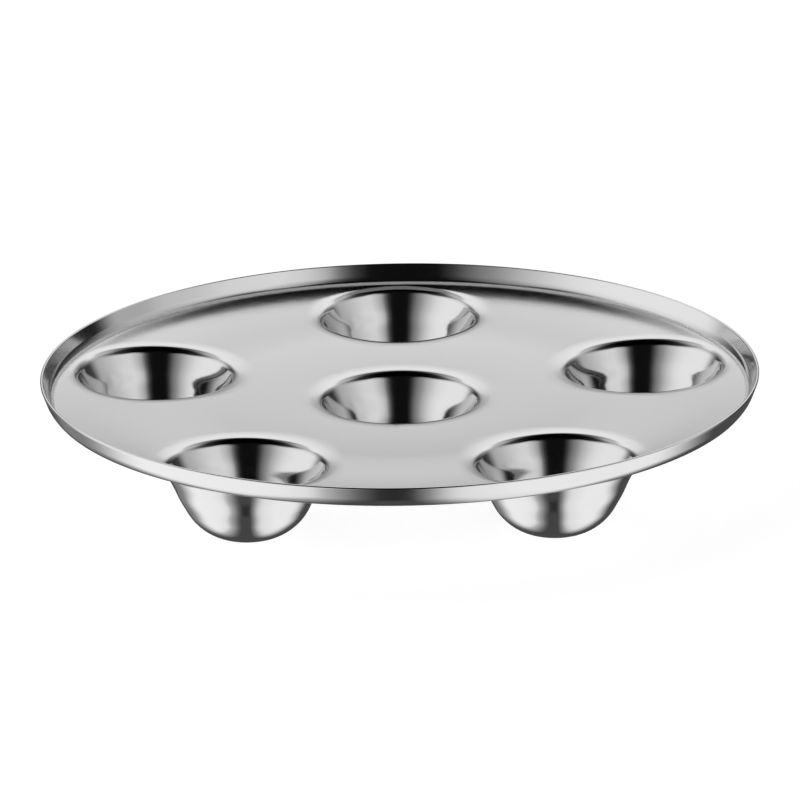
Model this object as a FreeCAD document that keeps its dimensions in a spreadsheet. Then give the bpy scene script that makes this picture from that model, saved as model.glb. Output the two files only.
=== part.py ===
import FreeCAD, Part

# Escargot plate: one pressed sheet with a flared rim, a slightly dished floor and six wells,
# one in the middle and a ring of five around it. It stands on the small flat feet of the wells.
# The origin is the middle of the surface it stands on, +Z is up and one ring well points to +Y.
# Lengths are in millimetres and angles in degrees.

import math
import os

import Sketcher

SIZES = (
    ("sheet", 0.7, "thickness of the metal, the same all over"),
    ("plate_height", 21.9, "from the surface it stands on to the top of the lip"),
    ("rim_radius", 80.0, "outer edge of the lip"),
    ("rim_rise", 4.2, "lip above the edge of the floor"),
    ("rim_flare", 20.0, "lean of the rim wall, outward from upright"),
    ("rim_foot", 1.2, "inner bend between the floor and the rim wall"),
    ("lip_round", 0.3, "rounding of both edges of the lip"),
    ("floor_dip", 2.15, "floor at the mouth of the middle well, below the floor's edge"),
    ("ring_wells", 5, "wells in the ring"),
    ("ring_land", 1.15, "floor left between the mouth of a ring well and the rim's bend"),
    ("well_radius", 17.5, "inner wall of a well where it meets the floor"),
    ("well_lean", 26.2, "lean of the well wall, outward from upright"),
    ("well_foot", 3.0, "flat that a well stands on"),
    ("mouth_bend", 2.0, "upper bend between the floor and the wall of a well"),
)

# sizes that follow from the ones above
FORMULAS = (
    ("floor_level", "dims.plate_height - dims.rim_rise"),
    ("corner_radius", "dims.rim_radius - dims.rim_rise * tan(dims.rim_flare * 1 deg)"
                      " - dims.sheet / cos(dims.rim_flare * 1 deg)"),
    ("floor_radius", "made.corner_radius - dims.rim_foot * tan(45 deg - dims.rim_flare * 0.5 deg)"),
    ("mouth_radius", "dims.well_radius + dims.mouth_bend * tan(45 deg - dims.well_lean * 0.5 deg)"),
    ("ring_radius", "made.floor_radius - dims.ring_land - made.mouth_radius"),
    ("floor_run", "made.corner_radius - made.mouth_radius"),
    ("crown_radius", "(made.floor_run ^ 2 + dims.floor_dip ^ 2) / (2 * dims.floor_dip)"),
    ("ring_drop", "dims.floor_dip"
                  " - (made.ring_radius - made.mouth_radius) ^ 2 / (2 * made.crown_radius)"),
    ("wall_slope", "tan(dims.well_lean * 1 deg)"),
    ("wall_cosine", "cos(dims.well_lean * 1 deg)"),
    ("wall_width", "dims.sheet / made.wall_cosine"),
)

doc = FreeCAD.newDocument("escargot_plate")

dims = doc.addObject("Spreadsheet::Sheet", "dims")
for row, (name, value, note) in enumerate(SIZES, start=1):
    dims.set(f"A{row}", name)
    dims.set(f"B{row}", str(value))
    dims.setAlias(f"B{row}", name)
    dims.set(f"C{row}", note)
doc.recompute()

made = doc.addObject("App::VarSet", "made")
for name, formula in FORMULAS:
    made.addProperty("App::PropertyFloat", name)
    made.setExpression(name, formula)
    doc.recompute()

body = doc.addObject("PartDesign::Body", "plate")
body.Label = "plate"


def number(formula):
    """The present value of an expression, as a plain number."""
    return float(dims.evalExpression(formula))


def origin_part(role):
    """One of the body's own origin planes or axes."""
    return next(item for item in body.Origin.OriginFeatures if item.Role == role)


def new_sketch(name):
    """An empty sketch, with +Z upward and its own right side towards -Y, the front of the plate."""
    sketch = body.newObject("Sketcher::SketchObject", name)
    sketch.AttachmentSupport = [(origin_part("YZ_Plane"), "")]
    sketch.MapMode = "FlatFace"
    facing_front = FreeCAD.Rotation(FreeCAD.Vector(0, 1, 0), 180)
    sketch.AttachmentOffset = FreeCAD.Placement(FreeCAD.Vector(), facing_front)
    return sketch


def drive(sketch, kind, places, formula):
    """Add a dimension to a sketch and bind it to an expression."""
    index = sketch.addConstraint(Sketcher.Constraint(kind, *places, number(formula)))
    sketch.setExpression(f"Constraints[{index}]", formula)


def drive_lean(sketch, wall, lean):
    """Set how far a wall, drawn upward, leans outward from upright."""
    rise = f"90 deg - {lean} * 1 deg"
    angle = math.radians(number(rise))
    index = sketch.addConstraint(Sketcher.Constraint("Angle", wall, angle))
    sketch.setExpression(f"Constraints[{index}]", rise)


def arc(middle, radius, start, end):
    """A circular arc, counterclockwise between two angles in degrees."""
    circle = Part.Circle(FreeCAD.Vector(*middle, 0), FreeCAD.Vector(0, 0, 1), radius)
    return Part.ArcOfCircle(circle, math.radians(start), math.radians(end))


def line(start, end):
    """A straight line between two points of a sketch."""
    return Part.LineSegment(FreeCAD.Vector(*start, 0), FreeCAD.Vector(*end, 0))


def leaning(point, lean, level):
    """Where a wall through a point, leaning outward, has another level."""
    return (point[0] + (level - point[1]) * math.tan(math.radians(lean)), level)


def well_outline(sketch, inset, drop):
    """Flat foot, bowl arc and leaning wall of a well, up to the level of the floor's edge.

    The inset is how far the skin lies inside the outer one, and the drop is how far the floor
    at the well lies below its edge.
    """
    lean = number("dims.well_lean")
    sine = math.sin(math.radians(lean))
    cosine = math.cos(math.radians(lean))
    mouth = f"dims.well_radius + {drop} * made.wall_slope + made.wall_width - {inset} / made.wall_cosine"
    top = (number(mouth), number("made.floor_level"))
    low = number(inset)
    flat = number("dims.well_foot")
    bowl_radius = (leaning(top, lean, low)[0] - flat) * cosine / (1 - sine)
    foot, bowl, wall = sketch.addGeometry([
        line((0, low), (flat, low)),
        arc((flat, low + bowl_radius), bowl_radius, -90, -lean),
        line((flat + bowl_radius * cosine, low + bowl_radius * (1 - sine)), top),
    ], False)
    sketch.addConstraint([
        Sketcher.Constraint("Tangent", foot, 2, bowl, 1),
        Sketcher.Constraint("Tangent", bowl, 2, wall, 1),
        Sketcher.Constraint("Horizontal", foot),
    ])
    drive(sketch, "DistanceY", (-1, 1, foot, 1), inset)
    drive(sketch, "DistanceX", (-1, 1, foot, 2), "dims.well_foot")
    drive_lean(sketch, wall, "dims.well_lean")
    return foot, wall, mouth


def close_at_axis(sketch, last, first):
    """Close a half section with a level line to the axis and the axis itself."""
    end = sketch.getPoint(last, 2)
    start = sketch.getPoint(first, 1)
    lid, axis = sketch.addGeometry([
        line((end.x, end.y), (0, end.y)),
        line((0, end.y), (0, start.y)),
    ], False)
    sketch.addConstraint([
        Sketcher.Constraint("Coincident", last, 2, lid, 1),
        Sketcher.Constraint("Coincident", lid, 2, axis, 1),
        Sketcher.Constraint("Coincident", axis, 2, first, 1),
        Sketcher.Constraint("Horizontal", lid),
        Sketcher.Constraint("PointOnObject", axis, 1, -2),
        Sketcher.Constraint("PointOnObject", axis, 2, -2),
    ])


def plate_section(name, inset):
    """Half section of the tray with its middle well, filled up to the lip."""
    sketch = new_sketch(name)
    foot, wall, mouth = well_outline(sketch, inset, "dims.floor_dip")
    lean = number("dims.well_lean")
    flare = number("dims.rim_flare")
    mouth_radius = f"dims.mouth_bend - dims.sheet + {inset}"
    crown = f"made.crown_radius + dims.sheet - {inset}"
    crown_middle = "made.floor_level - dims.floor_dip + made.crown_radius"
    foot_radius = f"dims.rim_foot + dims.sheet - {inset}"
    lip_radius = (f"dims.rim_radius - {inset}"
                  " * (1 / cos(dims.rim_flare * 1 deg) - tan(dims.rim_flare * 1 deg))")
    lip_level = f"dims.plate_height + {inset}"

    # the corners as they lie before the solver makes every bend exactly tangent
    top = (number(lip_radius), number(lip_level))
    low = number(crown_middle) - number(crown)
    small = number(mouth_radius)
    turned_wall = leaning((number(mouth), number("made.floor_level")), lean, low - small)
    mouth_middle = (turned_wall[0] + small / math.cos(math.radians(lean)), low - small)
    wide = number(foot_radius)
    edge = number("made.floor_level") - number("dims.sheet") + number(inset)
    turned_rim = leaning(top, flare, edge + wide)
    rim_middle = (turned_rim[0] - wide / math.cos(math.radians(flare)), edge + wide)
    floor_turn = math.degrees(math.asin((rim_middle[0] - mouth_middle[0]) / number(crown)))
    rim_start = (rim_middle[0] + wide * math.cos(math.radians(flare)),
                 rim_middle[1] - wide * math.sin(math.radians(flare)))

    mouth_bend, floor, rim_bend, rim = sketch.addGeometry([
        arc(mouth_middle, small, 90, 180 - lean),
        arc((mouth_middle[0], number(crown_middle)), number(crown), -90, -90 + floor_turn),
        arc(rim_middle, wide, -90, -flare),
        line(rim_start, top),
    ], False)
    mouth_point = FreeCAD.Vector(number(mouth), number("made.floor_level"), 0)
    guide = sketch.addGeometry(Part.Point(mouth_point), True)
    sketch.addConstraint([
        Sketcher.Constraint("Tangent", wall, 2, mouth_bend, 2),
        Sketcher.Constraint("Tangent", mouth_bend, 1, floor, 1),
        Sketcher.Constraint("Tangent", floor, 2, rim_bend, 1),
        Sketcher.Constraint("Tangent", rim_bend, 2, rim, 1),
        Sketcher.Constraint("Vertical", mouth_bend, 3, floor, 3),
        Sketcher.Constraint("PointOnObject", guide, 1, wall),
    ])
    drive(sketch, "DistanceX", (-1, 1, guide, 1), mouth)
    drive(sketch, "DistanceY", (-1, 1, guide, 1), "made.floor_level")
    drive(sketch, "Radius", (mouth_bend,), mouth_radius)
    drive(sketch, "Radius", (floor,), crown)
    drive(sketch, "DistanceY", (-1, 1, floor, 3), crown_middle)
    drive(sketch, "Radius", (rim_bend,), foot_radius)
    drive_lean(sketch, rim, "dims.rim_flare")
    drive(sketch, "DistanceX", (-1, 1, rim, 2), lip_radius)
    drive(sketch, "DistanceY", (-1, 1, rim, 2), lip_level)
    close_at_axis(sketch, rim, foot)
    return sketch


def well_section(name, inset):
    """Half section of a ring well, filled up to the level of the floor's edge."""
    sketch = new_sketch(name)
    sketch.setExpression("AttachmentOffset.Base.x", "made.ring_radius")
    foot, wall, mouth = well_outline(sketch, inset, "made.ring_drop")
    drive(sketch, "DistanceX", (-1, 1, wall, 2), mouth)
    drive(sketch, "DistanceY", (-1, 1, wall, 2), "made.floor_level")
    close_at_axis(sketch, wall, foot)
    return sketch


def turn(kind, name, sketch):
    """Turn a half section once around its own upright axis, to add metal or to take it away."""
    feature = body.newObject(kind, name)
    feature.Profile = sketch
    feature.ReferenceAxis = (sketch, ["V_Axis"])
    feature.Angle = 360
    doc.recompute()
    return feature


def around(feature, name):
    """Repeat a feature round the plate, once for each well of the ring."""
    pattern = body.newObject("PartDesign::PolarPattern", name)
    pattern.Originals = [feature]
    pattern.Axis = (origin_part("Z_Axis"), [""])
    pattern.Angle = 360
    pattern.setExpression("Occurrences", "dims.ring_wells")
    body.Tip = pattern
    doc.recompute()
    return pattern


def floor_skins(shape):
    """The under and the upper skin of the floor, the only curved faces wider than the ring."""
    width = 2 * number("made.ring_radius")
    skins = [face for face in shape.Faces
             if isinstance(face.Surface, Part.SurfaceOfRevolution) and face.BoundBox.XLength > width]
    return sorted(skins, key=lambda face: face.CenterOfMass.z)


def lip_face(shape):
    """The level face on top of the lip, the highest flat face."""
    flats = [face for face in shape.Faces if isinstance(face.Surface, Part.Plane)]
    return max(flats, key=lambda face: face.CenterOfMass.z)


def wall_edges(shape, face):
    """Names of the edges where a face meets a leaning wall."""
    found = []
    for index, edge in enumerate(shape.Edges, start=1):
        sides = shape.ancestorsOfType(edge, Part.Face)
        leaning_sides = [side for side in sides if isinstance(side.Surface, Part.Cone)]
        if leaning_sides and any(side.isSame(face) for side in sides):
            found.append(f"Edge{index}")
    return found


def rounded(base, name, face, radius):
    """Round the edges where a face of a feature meets a leaning wall."""
    fillet = body.newObject("PartDesign::Fillet", name)
    fillet.Base = (base, wall_edges(base.Shape, face))
    fillet.setExpression("Radius", radius)
    doc.recompute()
    return fillet


# The outer skin, filled: the tray with its middle well, and then the ring of wells under it.
turn("PartDesign::Revolution", "tray", plate_section("tray_section", "0"))
around(turn("PartDesign::Revolution", "well", well_section("well_section", "0")), "wells")

# The hollow inside it, one sheet thickness further in.
turn("PartDesign::Groove", "tray_hollow", plate_section("tray_hollow_section", "dims.sheet"))
hollow_section = well_section("well_hollow_section", "dims.sheet")
hollow = around(turn("PartDesign::Groove", "well_hollow", hollow_section), "well_hollows")

# The bends between the floor and the ring wells, above and below, and the edges of the lip.
upper = rounded(hollow, "mouth_bends", floor_skins(hollow.Shape)[1], "dims.mouth_bend")
under = rounded(upper, "under_bends", floor_skins(upper.Shape)[0], "dims.mouth_bend - dims.sheet")
rounded(under, "lip_edges", lip_face(under.Shape), "dims.lip_round")
doc.recompute()

for item in doc.Objects:
    if "Invalid" in item.State or "Error" in item.State:
        raise RuntimeError(f"{item.Name} did not build: {item.State}")
if body.Shape.isNull() or not body.Shape.isValid() or len(body.Shape.Solids) != 1:
    raise RuntimeError("the plate is not one valid solid")

os.makedirs("parts", exist_ok=True)
body.Shape.exportStep(f"parts/{body.Label}.step")
print(f"{body.Label}: {body.Shape.Volume:.1f} cubic mm, box {body.Shape.BoundBox}")
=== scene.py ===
import math

import bpy
import numpy as np
from mathutils import Matrix, Vector


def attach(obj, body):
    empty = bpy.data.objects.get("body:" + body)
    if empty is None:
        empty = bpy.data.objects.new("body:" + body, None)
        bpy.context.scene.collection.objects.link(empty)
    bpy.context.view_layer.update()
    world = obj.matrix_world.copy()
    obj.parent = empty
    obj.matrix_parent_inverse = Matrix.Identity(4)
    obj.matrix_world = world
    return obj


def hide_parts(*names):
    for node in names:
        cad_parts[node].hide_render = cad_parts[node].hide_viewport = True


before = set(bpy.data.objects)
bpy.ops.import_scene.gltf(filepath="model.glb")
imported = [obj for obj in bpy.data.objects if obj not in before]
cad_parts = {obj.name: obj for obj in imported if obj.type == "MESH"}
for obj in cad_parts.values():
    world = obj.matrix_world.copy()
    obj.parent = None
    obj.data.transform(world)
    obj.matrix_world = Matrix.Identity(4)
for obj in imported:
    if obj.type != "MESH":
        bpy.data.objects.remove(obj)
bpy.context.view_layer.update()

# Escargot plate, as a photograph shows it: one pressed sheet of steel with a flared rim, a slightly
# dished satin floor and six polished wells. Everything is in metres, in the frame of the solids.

MM = 0.001

# Sizes of the plate. They are the ones the solid was made from, apart from the three that shape the
# spread foot of the rim wall, which the solid doesn't have.
SHEET = 0.7 * MM                          # thickness of the metal
HEIGHT = 21.9 * MM                        # top of the lip
RIM_RADIUS = 80.0 * MM                    # outer edge of the lip
RIM_RISE = 4.2 * MM                       # lip above the edge of the floor
RIM_FLARE = math.radians(20.0)            # lean of the rim wall from upright
RIM_FOOT = 1.2 * MM                       # inner bend between floor and rim wall
RIM_SPREAD = 0.44 * MM                    # how far the foot of the rim wall spreads inwards
RIM_SPREAD_RISE = 1.5 * MM                # and how far up the wall the spread begins
RIM_BEND = 0.8 * MM                       # what is left of the bend below the spread
LIP_ROUND = 0.3 * MM                      # rounding of both edges of the lip
FLOOR_DIP = 2.15 * MM                     # floor at the middle mouth, below the floor's edge
RING_WELLS = 5
RING_LAND = 1.15 * MM                     # floor between a ring mouth and the rim's bend
WELL_RADIUS = 17.5 * MM                   # inner wall of a well where it meets the floor
WELL_LEAN = math.radians(26.2)            # lean of the well wall from upright
WELL_FOOT = 3.0 * MM                      # flat that a well stands on
MOUTH_BEND = 2.0 * MM                     # upper bend between floor and well wall

# Sizes that follow from them.
FLOOR_EDGE = HEIGHT - RIM_RISE
CORNER_RADIUS = RIM_RADIUS - RIM_RISE * math.tan(RIM_FLARE) - SHEET / math.cos(RIM_FLARE)
FLOOR_RADIUS = CORNER_RADIUS - RIM_FOOT * math.tan(math.pi / 4 - RIM_FLARE / 2)
MOUTH_RADIUS = WELL_RADIUS + MOUTH_BEND * math.tan(math.pi / 4 - WELL_LEAN / 2)
RING_RADIUS = FLOOR_RADIUS - RING_LAND - MOUTH_RADIUS
FLOOR_RUN = CORNER_RADIUS - MOUTH_RADIUS
CROWN = (FLOOR_RUN ** 2 + FLOOR_DIP ** 2) / (2 * FLOOR_DIP)
CROWN_LEVEL = FLOOR_EDGE - FLOOR_DIP + CROWN
RING_DROP = FLOOR_DIP - (RING_RADIUS - MOUTH_RADIUS) ** 2 / (2 * CROWN)
SECTOR = 2 * math.pi / RING_WELLS
WELL_MIDDLES = [(0.0, 0.0)] + [(RING_RADIUS * math.cos(math.pi / 2 + SECTOR * index),
                                RING_RADIUS * math.sin(math.pi / 2 + SECTOR * index))
                               for index in range(RING_WELLS)]

# The press draws the floor down a little towards every mouth, so it swells between them.
DIMPLE = 0.27 * MM                        # depth of the draw where a mouth's tight bend begins
DIMPLE_REACH = 2.9 * MM                   # how far outside the mouth it begins
DIMPLE_POWER = 2.5                        # how much of its slope lies next to the mouth
DIMPLE_TAIL = 1.0 * MM                    # how soon it evens out inside the mouth
SWELL = 0.7 * MM                          # rise of the floor between the mouths
SWELL_FADE = (42.0 * MM, 70.0 * MM)       # it fades out between these distances from the axis
DIMPLE_FADE = (75.0 * MM, 77.0 * MM)      # and the dimples between these
WELL_KEPT = (6.0 * MM, 12.0 * MM)         # levels: no draw below the first, all above the second

# The wells are pressed bowls: their walls draw in under the mouth and bulge out again below.
DRAWN_IN = 0.17 * MM                      # how far they draw in
DRAWN_IN_DEPTHS = (0.0, 8.0 * MM)         # between these depths below the mouth
BULGE = 0.11 * MM                         # how far they bulge out
BULGE_DEPTHS = (4.0 * MM, 14.0 * MM)      # between these depths
MIDDLE_BOWLED = 0.55                      # share of both in the middle well

# How finely the surfaces are divided.
RIM_STEPS = 72                            # along the rim, for each ring well
SIDE_STEPS = 32                           # along a line from the middle mouth to the rim
MOUTH_STEPS = 24                          # along the middle mouth, for each ring well
FLAT_ROWS, BOWL_ROWS, WALL_ROWS, BEND_ROWS, FLOOR_ROWS = 2, 14, 10, 8, 10
RIM_BEND_ROWS, RIM_SPREAD_ROWS, LIP_ROWS = 8, 6, 3
ROUNDS = 12                               # passes of the solvers below, each some ten times nearer
SLOPE_STEP = 0.01 * MM                    # step over which slopes are measured
WELD = 1e-4 * MM                          # points in one cell of this size are one point
WELD_SHIFT = math.sqrt(0.5)               # share of a cell that keeps its edges off round sizes


# Surfaces. Each is a grid of points with the outward direction of the metal at each point, and
# stands for the upper skin. The under skin is the same grid moved one sheet thickness inward.

def shares(count):
    """Even shares from 0 to 1, one more than the count."""
    return np.linspace(0.0, 1.0, count + 1)


def floor_level(radius):
    """Level of the upper skin of the floor at a distance from the plate's axis: an arc of the
    crown's radius whose middle stands over the mouth of the middle well."""
    return CROWN_LEVEL - np.sqrt(CROWN ** 2 - (radius - MOUTH_RADIUS) ** 2)


def floor_grid(x, y):
    """Points of the floor over a plan grid, and their normals, which point to the circle of the
    crown's middles: at radius r, (middle of the arc - point) / crown."""
    radius = np.hypot(x, y)
    level = floor_level(radius)
    lean = (MOUTH_RADIUS - radius) / CROWN
    rise = np.sqrt(1.0 - lean ** 2)
    points = np.stack([x, y, level], axis=-1)
    normals = np.stack([lean * x / radius, lean * y / radius, rise], axis=-1)
    return points, normals


def wall_radius(level, drop):
    """Inner radius of a well's wall, a cone, at a level: the mouth less the depth times the
    tangent of the lean."""
    return WELL_RADIUS + drop * math.tan(WELL_LEAN) - (FLOOR_EDGE - level) * math.tan(WELL_LEAN)


def bend_middles(turn, drop, out):
    """Where the middle of a ball as big as the mouth's bend rolls, below the floor and behind
    the wall of a well whose axis is out from the plate's: the level c and distance d from the
    well's axis with d = wall(c) + bend / cos(lean) and
    c = crown level - sqrt((crown + bend)^2 - (radius - mouth)^2), solved by turns."""
    level = np.full_like(turn, FLOOR_EDGE - drop - MOUTH_BEND)
    for _ in range(ROUNDS):
        away = wall_radius(level, drop) + MOUTH_BEND / math.cos(WELL_LEAN)
        radius = np.hypot(out + away * np.cos(turn), away * np.sin(turn))
        level = CROWN_LEVEL - np.sqrt((CROWN + MOUTH_BEND) ** 2 - (radius - MOUTH_RADIUS) ** 2)
    return away, level


def bowled(depth):
    """How far a well's wall stands out from its cone at a depth h below the mouth, which is
    bulge * sin^2(pi * (h - from) / (to - from)) less the same for the part drawn in, and the slope
    of that."""
    total, slope = np.zeros_like(depth), np.zeros_like(depth)
    for size, (first, last) in ((BULGE, BULGE_DEPTHS), (-DRAWN_IN, DRAWN_IN_DEPTHS)):
        angle = math.pi * np.clip((depth - first) / (last - first), 0.0, 1.0)
        total += size * np.sin(angle) ** 2
        slope += size * math.pi / (last - first) * np.sin(2 * angle)
    return total, slope


def well_grid(turn, drop, out, bowled_share=1.0):
    """A well round its own axis, which stands out from the plate's along +X: for each turn, a
    section of foot, bowl arc, wall and mouth bend, from the middle outwards. Foot: level.
    Bowl: arc tangent to foot and wall. Wall: straight. Bend: ball middle + radius times a
    normal that swings from the wall's to the floor's. Then every point moves outwards by a share
    of what bowled() gives for its depth, and its normal tips by the slope of that."""
    ones = np.ones_like(turn)
    depth = FLOOR_EDGE - SHEET
    low_radius = WELL_RADIUS + drop * math.tan(WELL_LEAN) - depth * math.tan(WELL_LEAN)
    bowl = (low_radius - WELL_FOOT) * math.cos(WELL_LEAN) / (1 - math.sin(WELL_LEAN))
    away, level = bend_middles(turn, drop, out)

    def ring(distance, height, inward, upward):
        """A level ring round the well's axis, with the same normal all the way round."""
        points = np.stack([out + distance * np.cos(turn), distance * np.sin(turn), height * ones],
                          axis=-1)
        normals = np.stack([-inward * np.cos(turn), -inward * np.sin(turn), upward * ones], axis=-1)
        return points, normals

    rows = []
    for share in shares(FLAT_ROWS)[1:]:
        rows.append(ring(WELL_FOOT * share, SHEET, 0.0, 1.0))
    for share in shares(BOWL_ROWS)[1:]:
        angle = share * (math.pi / 2 - WELL_LEAN)
        rows.append(ring(WELL_FOOT + bowl * math.sin(angle), SHEET + bowl * (1 - math.cos(angle)),
                         math.sin(angle), math.cos(angle)))
    wall_foot = rows[-1][0]
    wall_normal = rows[-1][1]
    middle = np.stack([out + away * np.cos(turn), away * np.sin(turn), level], axis=-1)
    wall_top = middle + MOUTH_BEND * wall_normal
    for share in shares(WALL_ROWS)[1:]:
        rows.append((wall_foot + share * (wall_top - wall_foot), wall_normal))
    radius = np.hypot(middle[:, 0], middle[:, 1])
    lean = (MOUTH_RADIUS - radius) / (CROWN + MOUTH_BEND)
    floor_normal = np.stack([lean * middle[:, 0] / radius, lean * middle[:, 1] / radius,
                             np.sqrt(1.0 - lean ** 2)], axis=-1)
    swing = np.arccos(np.sum(wall_normal * floor_normal, axis=-1))[:, None]
    for share in shares(BEND_ROWS)[1:]:
        normal = (np.sin((1 - share) * swing) * wall_normal + np.sin(share * swing) * floor_normal)
        normal /= np.sin(swing)
        rows.append((middle + MOUTH_BEND * normal, normal))
    points = np.stack([row[0] for row in rows])
    normals = np.stack([row[1] for row in rows])
    outward = np.stack([np.cos(turn), np.sin(turn), np.zeros_like(turn)], axis=-1)
    more, slope = bowled_share * np.stack(bowled(points[-1:, :, 2] - points[:, :, 2]))
    inward_share = -np.sum(normals * outward, axis=-1)
    points = points + more[..., None] * outward
    normals[..., 2] -= slope * inward_share
    normals /= np.linalg.norm(normals, axis=-1, keepdims=True)
    foot = np.array([[out, 0.0, SHEET]])
    return points, normals, foot


def cell_edge(half, rim_radius):
    """Outline of the sector that belongs to one ring well, in plan, counterclockwise from the
    direction of -Y: rim arc, side line inwards, arc of the middle mouth and side line outwards.
    Also the turn about the well's axis at which each point is joined to the mouth."""
    rim = np.stack([rim_radius * np.cos(half * (2 * shares(RIM_STEPS) - 1)),
                    rim_radius * np.sin(half * (2 * shares(RIM_STEPS) - 1))], axis=-1)
    mouth = np.stack([MOUTH_RADIUS * np.cos(half * (1 - 2 * shares(MOUTH_STEPS))),
                      MOUTH_RADIUS * np.sin(half * (1 - 2 * shares(MOUTH_STEPS)))], axis=-1)
    share = shares(SIDE_STEPS)[:, None]
    inwards = rim[-1] + share * (mouth[0] - rim[-1])
    outwards = mouth[-1] + share * (rim[0] - mouth[-1])
    edge = np.concatenate([rim[:-1], inwards[:-1], mouth[:-1], outwards[:-1]])
    corners = [math.atan2(point[1], point[0] - RING_RADIUS) for point in (rim[0], rim[-1], mouth[0])]
    last = 2 * math.pi - corners[2]
    turn = np.concatenate([
        corners[0] + (corners[1] - corners[0]) * shares(RIM_STEPS)[:-1],
        corners[1] + (corners[2] - corners[1]) * shares(SIDE_STEPS)[:-1],
        corners[2] + (last - corners[2]) * shares(MOUTH_STEPS)[:-1],
        last + (corners[0] + 2 * math.pi - last) * shares(SIDE_STEPS)[:-1],
    ])
    return edge, turn


def cell_grid(mouth, edge):
    """The floor between a well's mouth and the outline of its sector: plan points on straight
    lines from one to the other, lifted to the floor's level."""
    share = shares(FLOOR_ROWS)[:, None, None]
    plan = mouth[None, :, :2] + share * (edge - mouth[:, :2])[None]
    return floor_grid(plan[..., 0], plan[..., 1])


def turned(points, angle):
    """Points or directions turned about the plate's axis."""
    cosine, sine = math.cos(angle), math.sin(angle)
    return points @ np.array([[cosine, sine, 0.0], [-sine, cosine, 0.0], [0.0, 0.0, 1.0]])


def closed_quads(first, rows, columns):
    """Corners of the quads between neighbouring rows of a grid whose last column joins its
    first. The rows run outwards and the columns counterclockwise, seen from above."""
    row, column = np.meshgrid(np.arange(rows - 1), np.arange(columns), indexing="ij")
    beside = (column + 1) % columns
    corners = np.stack([row * columns + column, (row + 1) * columns + column,
                        (row + 1) * columns + beside, row * columns + beside], axis=-1)
    return first + corners.reshape(-1, 4)


def eased(value, low, high):
    """The soft step 3 t^2 - 2 t^3, where t goes from 0 at low to 1 at high."""
    share = np.clip((value - low) / (high - low), 0.0, 1.0)
    return share * share * (3.0 - 2.0 * share)


def draw(x, y):
    """How far the press lowers the floor at a plan point: the dimple round the nearest mouth,
    depth * (1 - s / reach)^power at a distance s outside the mouth, and inside it the same slope
    dying out as tail * (1 - exp(s / tail)), less the swell of the floor between the mouths."""
    away = np.min([np.hypot(x - middle[0], y - middle[1]) for middle in WELL_MIDDLES], axis=0)
    beyond = away - MOUTH_RADIUS
    radius = np.hypot(x, y)
    outside = np.clip(1.0 - beyond / DIMPLE_REACH, 0.0, 1.0) ** DIMPLE_POWER
    slope = DIMPLE_POWER * DIMPLE / DIMPLE_REACH
    inside = slope * DIMPLE_TAIL * (1.0 - np.exp(np.minimum(beyond, 0.0) / DIMPLE_TAIL))
    dimple = (DIMPLE * outside + inside) * (1.0 - eased(radius, *DIMPLE_FADE))
    return dimple - SWELL * (1.0 - eased(radius, *SWELL_FADE))


def pressed(points, normals):
    """Both skins moved down by the draw, all of it above the wells and none of it low in them.
    A point goes to z - draw(x, y) * share(z), and a normal follows the move's slopes."""
    x, y, z = points.T
    step = SLOPE_STEP
    share = eased(z, *WELL_KEPT)
    share_slope = (eased(z + step, *WELL_KEPT) - eased(z - step, *WELL_KEPT)) / (2 * step)
    lowered = draw(x, y)
    along_x = (draw(x + step, y) - draw(x - step, y)) / (2 * step)
    along_y = (draw(x, y + step) - draw(x, y - step)) / (2 * step)
    upward = normals[:, 2] / (1.0 - lowered * share_slope)
    moved = np.stack([normals[:, 0] + along_x * share * upward,
                      normals[:, 1] + along_y * share * upward, upward], axis=-1)
    moved /= np.linalg.norm(moved, axis=-1, keepdims=True)
    return np.stack([x, y, z - lowered * share], axis=-1), moved


class Skin:
    """Grids of points, normals and faces, gathered for one mesh."""

    def __init__(self):
        self.points, self.normals, self.quads, self.tips = [], [], [], []
        self.count = 0

    def add(self, points, normals, foot=None, flipped=False):
        """Add a closed grid, and the fan that closes it over its foot."""
        rows, columns = points.shape[:2]
        quads = closed_quads(self.count, rows, columns)
        self.quads.append(quads[:, ::-1] if flipped else quads)
        self.points.append(points.reshape(-1, 3))
        self.normals.append(normals.reshape(-1, 3))
        if foot is not None:
            inner = self.count + np.arange(columns)
            tip = np.full(columns, self.count + rows * columns)
            fan = np.stack([tip, inner, np.roll(inner, -1)], axis=-1)
            self.tips.append(fan[:, ::-1] if flipped else fan)
            self.points.append(foot)
            self.normals.append(np.array([[0.0, 0.0, -1.0 if flipped else 1.0]]))
        self.count += rows * columns + (0 if foot is None else 1)

    def add_both(self, points, normals, foot=None):
        """Add the upper skin, and the under skin one sheet thickness inward from it."""
        self.add(points, normals, foot)
        under_foot = None if foot is None else foot - [[0.0, 0.0, SHEET]]
        self.add(points - SHEET * normals, -normals, under_foot, flipped=True)


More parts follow.
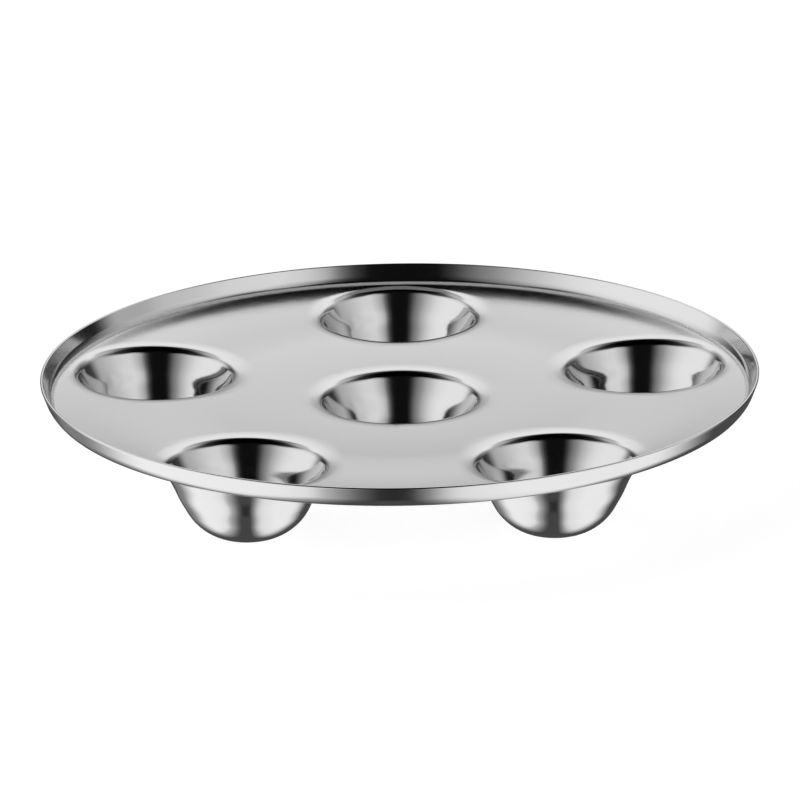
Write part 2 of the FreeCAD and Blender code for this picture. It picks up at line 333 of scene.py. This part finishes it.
def rim_profile():
    """Section of the rim, from the upper skin of the floor over the lip to the under skin:
    bend, wall, rounded level lip, wall and bend. Columns are radius, level and the normal's two
    parts. The wall is straight above and spreads inwards by spread * (1 - h / rise)^2 at a height
    h over its foot. The bend's middle lies crown - bend from the crown's middle and one bend
    radius behind the wall's foot, solved by turns."""
    wall_top = RIM_RADIUS - SHEET / math.cos(RIM_FLARE)
    foot_lean = math.atan(math.tan(RIM_FLARE) + 2 * RIM_SPREAD / RIM_SPREAD_RISE)
    level = FLOOR_EDGE + RIM_BEND
    for _ in range(ROUNDS):
        foot_level = level - RIM_BEND * math.sin(foot_lean)
        foot_radius = wall_top - (HEIGHT - foot_level) * math.tan(RIM_FLARE) - RIM_SPREAD
        radius = foot_radius - RIM_BEND * math.cos(foot_lean)
        level = CROWN_LEVEL - math.sqrt((CROWN - RIM_BEND) ** 2 - (radius - MOUTH_RADIUS) ** 2)
    start = math.asin((radius - MOUTH_RADIUS) / (CROWN - RIM_BEND))
    swing = start + (math.pi / 2 - foot_lean - start) * shares(RIM_BEND_ROWS)
    bend = np.stack([radius + RIM_BEND * np.sin(swing), level - RIM_BEND * np.cos(swing),
                     -np.sin(swing), np.cos(swing)], axis=-1)

    def round_arc(middle_radius, first, last):
        """A rounded edge of the lip, from one direction of its normal to another."""
        angle = first + (last - first) * shares(LIP_ROWS)
        return np.stack([middle_radius + LIP_ROUND * np.cos(angle),
                         HEIGHT - LIP_ROUND + LIP_ROUND * np.sin(angle),
                         np.cos(angle), np.sin(angle)], axis=-1)

    inner_top = wall_top - LIP_ROUND * math.tan(RIM_FLARE)
    outer_top = RIM_RADIUS - LIP_ROUND * math.tan(RIM_FLARE)
    inner = round_arc(inner_top + LIP_ROUND / math.cos(RIM_FLARE), math.pi - RIM_FLARE, math.pi / 2)
    outer = round_arc(outer_top - LIP_ROUND / math.cos(RIM_FLARE), math.pi / 2, -RIM_FLARE)
    spread_share = 1.0 - shares(RIM_SPREAD_ROWS)
    up = foot_level + RIM_SPREAD_RISE * shares(RIM_SPREAD_ROWS)
    lean = np.arctan(math.tan(RIM_FLARE) + 2 * RIM_SPREAD / RIM_SPREAD_RISE * spread_share)
    line = wall_top - (HEIGHT - up) * math.tan(RIM_FLARE)
    spread = np.stack([line - RIM_SPREAD * spread_share ** 2, up, -np.cos(lean), np.sin(lean)],
                      axis=-1)
    upper = np.concatenate([bend[:-1], spread])
    under = np.concatenate([upper[:, :2] - SHEET * upper[:, 2:], -upper[:, 2:]], axis=-1)
    return np.concatenate([upper, inner, outer, under[::-1]])


def rim_grid(section):
    """The rim's section turned about the plate's axis, from the edge of the floor outwards."""
    turn = SECTOR * (np.arange(RING_WELLS * RIM_STEPS) / RIM_STEPS - 0.5) + math.pi / 2
    out, up, normal_out, normal_up = section.T[..., None] * np.ones_like(turn)
    points = np.stack([out * np.cos(turn), out * np.sin(turn), up], axis=-1)
    normals = np.stack([normal_out * np.cos(turn), normal_out * np.sin(turn), normal_up], axis=-1)
    return points, normals


def plate_mesh():
    """The whole plate: the middle well, five ring wells with the floor of their sectors, and
    the rim, with points that coincide made one."""
    skin = Skin()
    rim_section = rim_profile()
    edge, turn = cell_edge(SECTOR / 2, rim_section[0, 0])
    mouth_turn = SECTOR * (np.arange(RING_WELLS * MOUTH_STEPS) / MOUTH_STEPS - 0.5) + math.pi / 2
    skin.add_both(*well_grid(mouth_turn, FLOOR_DIP, 0.0, MIDDLE_BOWLED))
    well, well_normals, foot = well_grid(turn, RING_DROP, RING_RADIUS)
    cell, cell_normals = cell_grid(well[-1], edge)
    cell[0], cell_normals[0] = well[-1], well_normals[-1]
    for index in range(RING_WELLS):
        angle = math.pi / 2 + SECTOR * index
        skin.add_both(turned(well, angle), turned(well_normals, angle), turned(foot, angle))
        skin.add_both(turned(cell, angle), turned(cell_normals, angle))
    skin.add(*rim_grid(rim_section))

    points, normals = pressed(np.concatenate(skin.points), np.concatenate(skin.normals))
    cells = np.floor(points / WELD + WELD_SHIFT).astype(np.int64)
    _, first, same = np.unique(cells, axis=0, return_index=True, return_inverse=True)
    same = same.ravel()
    faces = [same[part] for part in (np.concatenate(skin.quads), np.concatenate(skin.tips))]
    faces = [corner for part in faces for corner in part.tolist()]
    mesh = bpy.data.meshes.new("plate_metal")
    mesh.from_pydata(points[first].tolist(), [], faces)
    mesh.polygons.foreach_set("use_smooth", np.ones(len(mesh.polygons), bool))
    mesh.normals_split_custom_set_from_vertices(normals[first].tolist())
    mesh.validate()
    mesh.update()
    return mesh


plate_metal = bpy.data.objects.new("plate_metal", plate_mesh())
bpy.context.scene.collection.objects.link(plate_metal)
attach(plate_metal, "root")
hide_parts("plate")


# Finishes. All of them read the plate's own coordinates, in metres.

METAL_TONE = 0.62                         # how pale the steel is
PAINTED_HIGHLIGHT_TONE = 0.95                          # and the matt line at the foot of the rim wall, painted paler there as a painted highlight
SATIN = (0.18, 0.21)                      # roughness of the floor, between these
BRIGHT = (0.09, 0.11)                     # roughness of the wells and the rim, between these
MATT = 0.8                                # roughness of the matt line and the matt brim
WELL_POLISH_END = (0.0, 3.0 * MM)         # the polish fades out between these, out from a mouth
RIM_POLISH_START = (0.3 * MM, 0.6 * MM)   # and in again between these, out from the floor's edge
LINE_START = (-0.1 * MM, 0.1 * MM)        # the matt line, also painted paler as a painted highlight, fades in between these, out from there
LINE_END = (0.55 * MM, 0.75 * MM)         # and out between these
BRIM_START = (-0.7 * MM, -0.3 * MM)       # the matt brim fades in between these, out from a mouth
BRIM_END = (0.1 * MM, 0.6 * MM)           # and out between these
BRIM_BACK = (70.0 * MM, 74.0 * MM)        # and only this far back, on the back well
MATT_DEPTH = 0.8 * MM                     # both lie above this depth under the floor's edge
GRAIN_FINENESS = (300.0, 9000.0, 9000.0)  # of the brushed grain, which runs from side to side
CLOUD_FINENESS = (60.0, 120.0, 120.0)     # of the clouds in the roughness
CLOUD_SPAN = (0.3, 0.7)                   # part of the noise that the clouds use
GRAIN_DEPTH = 0.0004 * MM
GRAIN_STRENGTH = 0.3


class Nodes:
    """Shorthand for laying out one node tree."""

    def __init__(self, tree):
        self.tree = tree
        tree.nodes.clear()

    def add(self, kind, *inputs, **settings):
        """A node with its inputs in order, each a number, a vector or another node's output;
        None leaves an input as it is. Returns the first output."""
        node = self.tree.nodes.new(kind)
        for name, value in settings.items():
            setattr(node, name, value)
        for socket, value in zip(node.inputs, inputs):
            if isinstance(value, bpy.types.NodeSocket):
                self.tree.links.new(value, socket)
            elif value is not None:
                socket.default_value = value
        return node.outputs[0]

    def sum(self, operation, first, second=None, third=None):
        """One step of arithmetic."""
        return self.add("ShaderNodeMath", first, second, third, operation=operation)

    def blend(self, value, low, high, to_low=0.0, to_high=1.0):
        """A soft step: to_low below the low value, to_high above the high one."""
        return self.add("ShaderNodeMapRange", value, low, high, to_low, to_high,
                        interpolation_type="SMOOTHSTEP")

    def product(self, *factors):
        """All the factors multiplied."""
        total = factors[0]
        for factor in factors[1:]:
            total = self.sum("MULTIPLY", total, factor)
        return total

    def between(self, value, edge, start, end):
        """1 between two spans measured from an edge: a soft step up over the first span and a
        soft step down over the second."""
        rising = self.blend(value, edge + start[0], edge + start[1])
        falling = self.blend(value, edge + end[0], edge + end[1], 1.0, 0.0)
        return self.product(rising, falling)

    def zone(self, parts, strength, *steps):
        """The strength times a soft step for each (part, start, end), which goes from 0 at the
        start to 1 at the end; the start may be the higher one."""
        rises = []
        for part, start, end in steps:
            levels = (0.0, 1.0) if start < end else (1.0, 0.0)
            rises.append(self.blend(parts[part], min(start, end), max(start, end), *levels))
        return self.product(strength, *rises)

    def dimmed(self, light, parts, strength, *steps):
        """The light times one less a zone; a strength below 0 makes it brighter there."""
        return self.product(light, self.sum("SUBTRACT", 1.0, self.zone(parts, strength, *steps)))

    def most(self, *values):
        """The greatest of several values, such as the brightest of lights."""
        greatest = values[0]
        for value in values[1:]:
            greatest = self.sum("MAXIMUM", greatest, value)
        return greatest

    def ramp(self, value, stops):
        """A curve of straight pieces through (place, brightness) stops, over places 0 to 1."""
        node = self.tree.nodes.new("ShaderNodeValToRGB")
        node.color_ramp.interpolation = "LINEAR"
        elements = node.color_ramp.elements
        while len(elements) < len(stops):
            elements.new(0.5)
        for element, (place, level) in zip(elements, stops):
            element.position = place
            element.color = (level, level, level, 1.0)
        self.tree.links.new(value, node.inputs[0])
        return node.outputs[0]


def steel():
    """Stainless steel. With s the distance to the nearest well's axis and r the distance to the
    plate's, it is polished where s is within the mouth or r is past the floor's edge, and satin on
    the floor between. Two narrow rings are matt: one in r at the foot of the rim wall, and one in s
    at the back edge of the back well. The ring at the foot of the rim wall is also painted paler
    than the rest of the steel, a painted highlight."""
    material = bpy.data.materials.new("pressed_steel")
    material.use_nodes = True
    nodes = Nodes(material.node_tree)
    place = nodes.add("ShaderNodeTexCoord").node.outputs["Object"]
    place_parts = nodes.add("ShaderNodeSeparateXYZ", place).node.outputs
    plan = nodes.add("ShaderNodeVectorMath", place, (1.0, 1.0, 0.0), operation="MULTIPLY")
    from_axis = nodes.add("ShaderNodeVectorMath", plan, operation="LENGTH").node.outputs["Value"]
    nearest = from_axis
    for middle in WELL_MIDDLES[1:]:
        away = nodes.add("ShaderNodeVectorMath", plan, (*middle, 0.0), operation="DISTANCE")
        nearest = nodes.sum("MINIMUM", nearest, away.node.outputs["Value"])

    polish_low, polish_high = [MOUTH_RADIUS + reach for reach in WELL_POLISH_END]
    in_well = nodes.blend(nearest, polish_low, polish_high, 1.0, 0.0)
    on_rim = nodes.blend(from_axis, *[FLOOR_RADIUS + reach for reach in RIM_POLISH_START])
    polish = nodes.most(in_well, on_rim)
    above = nodes.sum("GREATER_THAN", place_parts["Z"], FLOOR_EDGE - MATT_DEPTH)
    # The ring at the foot of the rim wall: matt, and also painted paler further down, a painted
    # highlight.
    line = nodes.product(nodes.between(from_axis, FLOOR_RADIUS, LINE_START, LINE_END), above)
    brim = nodes.product(nodes.between(nearest, MOUTH_RADIUS, BRIM_START, BRIM_END), above,
                         nodes.blend(place_parts["Y"], *BRIM_BACK))

    clouds = nodes.add("ShaderNodeTexNoise", nodes.add("ShaderNodeVectorMath", place, CLOUD_FINENESS,
                                                       operation="MULTIPLY"))
    satin = nodes.add("ShaderNodeMapRange", clouds, *CLOUD_SPAN, *SATIN)
    bright = nodes.add("ShaderNodeMapRange", clouds, *CLOUD_SPAN, *BRIGHT)
    finished = nodes.add("ShaderNodeMix", polish, None, satin, bright)
    roughness = nodes.add("ShaderNodeMix", nodes.most(line, brim), None, finished, MATT)
    # Steel tone, painted paler along the ring at the foot of the rim wall: a painted highlight, not a
    # change in the metal.
    steel_tone_and_painted_highlight = nodes.add("ShaderNodeMapRange", line, 0.0, 1.0, METAL_TONE, PAINTED_HIGHLIGHT_TONE)
    grain = nodes.add("ShaderNodeTexNoise", nodes.add("ShaderNodeVectorMath", place, GRAIN_FINENESS,
                                                      operation="MULTIPLY"))
    bump = nodes.tree.nodes.new("ShaderNodeBump")
    bump.inputs["Distance"].default_value = GRAIN_DEPTH
    bump.inputs["Strength"].default_value = GRAIN_STRENGTH
    nodes.tree.links.new(grain, bump.inputs["Height"])

    surface = nodes.tree.nodes.new("ShaderNodeBsdfPrincipled")
    surface.inputs["Metallic"].default_value = 1.0
    nodes.tree.links.new(steel_tone_and_painted_highlight, surface.inputs["Base Color"])
    nodes.tree.links.new(roughness, surface.inputs["Roughness"])
    nodes.tree.links.new(bump.outputs["Normal"], surface.inputs["Normal"])
    output = nodes.tree.nodes.new("ShaderNodeOutputMaterial")
    nodes.tree.links.new(surface.outputs["BSDF"], output.inputs["Surface"])
    return material


plate_metal.data.materials.append(steel())


# Studio: a white floor, and round it a tent of two pale side panels and a pale back, with a dark
# slit between the panels in front, overhead and below. Directions have the parts x to the right,
# y to the back and z up.

# Brightness of each panel, as (place, brightness) stops over its share of sideways direction.
RIGHT_PANEL = [(0.0, 0.005), (0.16, 0.005), (0.24, 0.05), (0.31, 0.20), (0.38, 0.56),
               (0.48, 0.76), (0.60, 0.84), (0.75, 0.66), (0.88, 0.52), (1.0, 0.48)]
LEFT_PANEL = [(0.0, 0.005), (0.22, 0.005), (0.30, 0.05), (0.42, 0.22), (0.50, 0.32),
              (0.60, 0.52), (0.70, 0.70), (0.80, 0.88), (0.90, 0.98), (1.0, 1.0)]
LOW_RIGHT_PANEL = [(0.0, 0.025), (0.04, 0.04), (0.11, 0.24), (0.18, 0.60), (0.24, 0.80),
                   (0.30, 0.84), (0.45, 0.92), (1.0, 0.88)]
LOW_LEFT_PANEL = [(0.0, 0.025), (0.09, 0.03), (0.17, 0.12), (0.24, 0.30), (0.30, 0.48),
                  (0.36, 0.82), (0.46, 0.92), (1.0, 1.0)]

# Brightness of the back, as stops over half of z + 1.
BACK_PANEL = [(0.38, 0.05), (0.47, 0.08), (0.50, 0.14), (0.535, 0.25), (0.57, 0.36), (0.61, 0.46),
              (0.636, 0.56), (0.66, 0.74), (0.675, 0.80), (0.70, 0.87), (0.785, 1.0),
              (0.83, 0.95), (0.86, 0.50), (0.875, 0.25), (0.895, 0.05), (0.92, 0.0)]

# Where the light changes, as a strength and soft steps (part, start, end).
FRONT_SHIFT = (-0.24, ("y", 0.0, -0.22), ("z", 0.78, 0.87))   # panels end farther out, high in front
RIGHT_BEHIND = (0.92, ("y", 0.20, 0.55), ("z", 0.85, 0.15))
RIGHT_FAR_LOW = (0.90, ("y", 0.24, 0.44), ("z", 0.17, 0.09))
RIGHT_LOW_GLOW = (-0.30, ("y", 0.05, -0.15), ("z", 0.36, 0.28))
RIGHT_SIDE_GLOW = (-0.36, ("y", -0.74, -0.38), ("y", 0.30, -0.35), ("z", 0.25, 0.36))
LEFT_HIGH = (0.50, ("z", 0.80, 0.96))
LEFT_BEHIND = (0.88, ("y", 0.45, 0.80), ("z", 0.75, 0.15))
LOW_FRONT = (0.85, ("z", 0.16, 0.03), ("y", -0.1, -0.9))
OVERHEAD = (0.93, ("z", 0.62, 0.80), ("y", -0.45, -0.25))
BACK_ONLY = (1.0, ("y", 0.30, 0.62))
BACK_SIDES = (0.90, ("narrowed", 0.05, 0.40))
BACK_NARROWS = 0.7                                            # share of z taken off its width
CORNERS = (0.60, ("sideways", 0.04, 0.45), ("y", 0.0, 0.5), ("z", 0.93, 0.78), ("z", 0.30, 0.60))

# Fades, as from, to, level at from and level at to.
RIGHT_UPWARD = (0.45, 0.95, 1.0, 0.25)                        # over z
LOW_RIGHT_BACKWARD = (0.20, 0.68, 1.15, 0.05)                 # over y
LOW_LEFT_BACKWARD = (0.25, 0.70, 1.15, 0.25)                  # over y
BELOW = (-0.45, -0.25, 0.022, 0.07)                           # over y, under the horizon
HORIZON = (-0.25, 0.05)                                       # over z, from lower to upper light
LIGHT = 1.23                                                  # strength of all of it


def studio_world():
    """Light by direction. Above the horizon the brightest of a right panel, a left panel, a back
    and the corners between them, below it the brightest of two lower panels and a faint glow, with
    a soft step from one to the other. The camera itself sees plain white."""
    world = bpy.data.worlds.new("studio")
    bpy.context.scene.world = world
    world.use_nodes = True
    nodes = Nodes(world.node_tree)
    direction = nodes.add("ShaderNodeTexCoord")
    x, y, z = nodes.add("ShaderNodeSeparateXYZ", direction).node.outputs
    leftward = nodes.sum("MULTIPLY", x, -1.0)
    sideways = nodes.sum("ABSOLUTE", x)
    narrowed = nodes.sum("SUBTRACT", sideways, nodes.sum("MULTIPLY", z, BACK_NARROWS))
    parts = {"y": y, "z": z, "sideways": sideways, "narrowed": narrowed}

    shift = nodes.zone(parts, *FRONT_SHIFT)
    right = nodes.ramp(nodes.sum("ADD", x, shift), RIGHT_PANEL)
    right = nodes.product(right, nodes.add("ShaderNodeMapRange", z, *RIGHT_UPWARD))
    for change in (RIGHT_BEHIND, RIGHT_FAR_LOW, RIGHT_LOW_GLOW, RIGHT_SIDE_GLOW):
        right = nodes.dimmed(right, parts, *change)
    left = nodes.ramp(nodes.sum("ADD", leftward, shift), LEFT_PANEL)
    for change in (LEFT_HIGH, LEFT_BEHIND):
        left = nodes.dimmed(left, parts, *change)
    panels = nodes.most(right, left)
    for change in (LOW_FRONT, OVERHEAD):
        panels = nodes.dimmed(panels, parts, *change)
    back = nodes.ramp(nodes.add("ShaderNodeMapRange", z, -1.0, 1.0, 0.0, 1.0), BACK_PANEL)
    back = nodes.product(back, nodes.zone(parts, *BACK_ONLY))
    back = nodes.dimmed(back, parts, *BACK_SIDES)
    upper = nodes.most(panels, back, nodes.zone(parts, *CORNERS))

    low_right = nodes.product(nodes.ramp(x, LOW_RIGHT_PANEL), nodes.blend(y, *LOW_RIGHT_BACKWARD))
    low_left = nodes.product(nodes.ramp(leftward, LOW_LEFT_PANEL), nodes.blend(y, *LOW_LEFT_BACKWARD))
    lower = nodes.most(low_right, low_left, nodes.blend(y, *BELOW))

    light = nodes.add("ShaderNodeMix", nodes.blend(z, *HORIZON), None, lower, upper)
    seen = nodes.add("ShaderNodeLightPath").node.outputs["Is Camera Ray"]
    light = nodes.most(nodes.product(light, LIGHT), seen)
    background = nodes.tree.nodes.new("ShaderNodeBackground")
    background.inputs["Color"].default_value = (1.0, 1.0, 1.0, 1.0)
    nodes.tree.links.new(light, background.inputs["Strength"])
    output = nodes.tree.nodes.new("ShaderNodeOutputWorld")
    nodes.tree.links.new(background.outputs["Background"], output.inputs["Surface"])


STAGE_HALF = 1.5                          # half the width of the floor
STAGE_GLOW = 0.8                          # how strongly it shines
STAGE_TONE = 0.6                          # how pale its matt surface is


def white_floor():
    """A wide white floor that glows as white as the background and takes the plate's shadow."""
    half = STAGE_HALF
    corners = [(-half, -half, 0.0), (half, -half, 0.0), (half, half, 0.0), (-half, half, 0.0)]
    mesh = bpy.data.meshes.new("floor")
    mesh.from_pydata(corners, [], [(0, 1, 2, 3)])
    floor = bpy.data.objects.new("floor", mesh)
    bpy.context.scene.collection.objects.link(floor)
    floor.visible_glossy = False
    material = bpy.data.materials.new("white_floor")
    material.use_nodes = True
    nodes = Nodes(material.node_tree)
    glow = nodes.tree.nodes.new("ShaderNodeEmission")
    glow.inputs["Color"].default_value = (STAGE_GLOW, STAGE_GLOW, STAGE_GLOW, 1.0)
    matt = nodes.tree.nodes.new("ShaderNodeBsdfDiffuse")
    matt.inputs["Color"].default_value = (STAGE_TONE, STAGE_TONE, STAGE_TONE, 1.0)
    both = nodes.add("ShaderNodeAddShader", glow.outputs[0], matt.outputs[0])
    output = nodes.tree.nodes.new("ShaderNodeOutputMaterial")
    nodes.tree.links.new(both, output.inputs["Surface"])
    mesh.materials.append(material)
    return floor


studio_world()
white_floor()

# Camera: the photograph's angle, from in front and above, very far off with a long lens.
CAMERA_RISE = math.radians(18.45)
CAMERA_AWAY = 2.0527
CAMERA_ROLL = math.radians(-0.833)
CAMERA_SEES = (0.1, 50.0)                 # nearest and farthest distance
AIM = Vector((0.0, 0.0, 15.2 * MM))
LENS = 415.2                              # millimetres
FILM_WIDTH = 36.0                         # millimetres
camera_data = bpy.data.cameras.new("camera")
camera_data.sensor_width = FILM_WIDTH
camera_data.lens = LENS
camera_data.clip_start, camera_data.clip_end = CAMERA_SEES
camera = bpy.data.objects.new("camera", camera_data)
bpy.context.scene.collection.objects.link(camera)
camera.location = AIM + CAMERA_AWAY * Vector((0.0, -math.cos(CAMERA_RISE), math.sin(CAMERA_RISE)))
camera.rotation_mode = "QUATERNION"
facing = (AIM - camera.location).to_track_quat("-Z", "Y")
camera.rotation_quaternion = facing @ Matrix.Rotation(CAMERA_ROLL, 3, "Z").to_quaternion()
bpy.context.scene.camera = camera

bpy.context.scene.view_settings.view_transform = "Standard"
